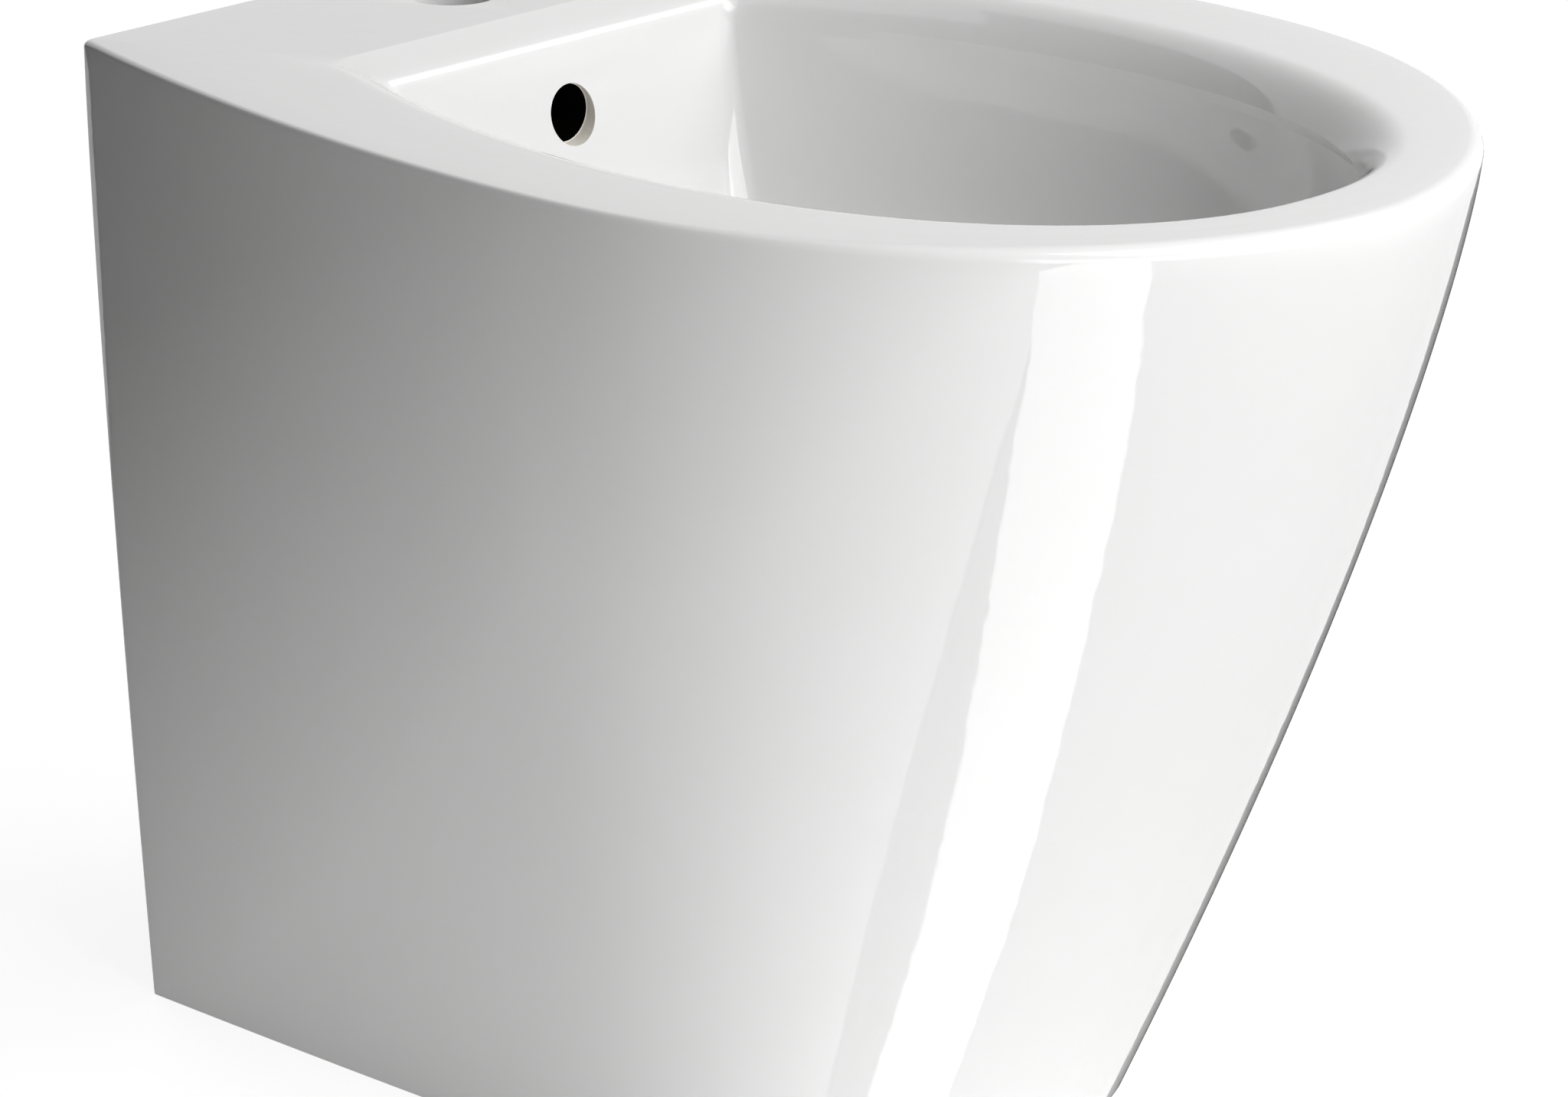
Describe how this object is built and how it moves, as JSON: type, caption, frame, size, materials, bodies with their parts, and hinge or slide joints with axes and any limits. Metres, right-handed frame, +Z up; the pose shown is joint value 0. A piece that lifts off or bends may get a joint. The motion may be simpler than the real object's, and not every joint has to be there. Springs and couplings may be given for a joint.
{
  "type": "floor standing bidet",
  "caption": "Back-to-wall floor standing bidet in white glazed china with a tap hole, an overflow, a click waste, a bottle trap and hidden floor fixings.",
  "frame": {"origin": "on the floor, under the middle of the bidet's overall length and width", "axes": "+X across, +Y towards the wall behind the bidet, +Z up; the nose points along -Y"},
  "size_m": [0.3898, 0.526, 0.4],
  "materials": {
    "china": "white gloss glaze",
    "chrome": "polished chrome plate",
    "rubber": "matte black rubber",
    "plastic": "white moulded plastic",
    "brass": "turned brass",
    "steel": "zinc plated or stainless steel"
  },
  "bodies": {
    "bidet": {"bidet_body": "china", "waste_body": "chrome", "flange_gasket": "rubber", "taper_washer": "rubber", "slip_washer": "plastic", "back_nut": "brass", "click_cartridge": "brass", "click_spring": "steel", "trap_inlet_nut": "chrome", "trap_inlet_washer": "rubber", "dip_tube": "chrome", "trap_head_nut": "chrome", "trap_head_washer": "rubber", "trap_head": "chrome", "cup_seal": "rubber", "trap_cup": "chrome", "outlet_nut": "chrome", "outlet_washer": "rubber", "outlet_pipe": "chrome", "floor_bracket_left": "steel", "floor_bracket_right": "steel", "fixing_screws": "steel", "fixing_sleeves": "plastic", "fixing_caps": "chrome"},
    "plug": {"plug_stem": "steel", "plug_seal": "rubber", "plug_cap": "chrome"}
  },
  "joints": [
    {"name": "plug_slide", "type": "slide", "parent": "bidet", "child": "plug", "axis": [0, 0, 1], "range_m": [0, 0.007], "deforming": ["click_spring"]}
  ]
}
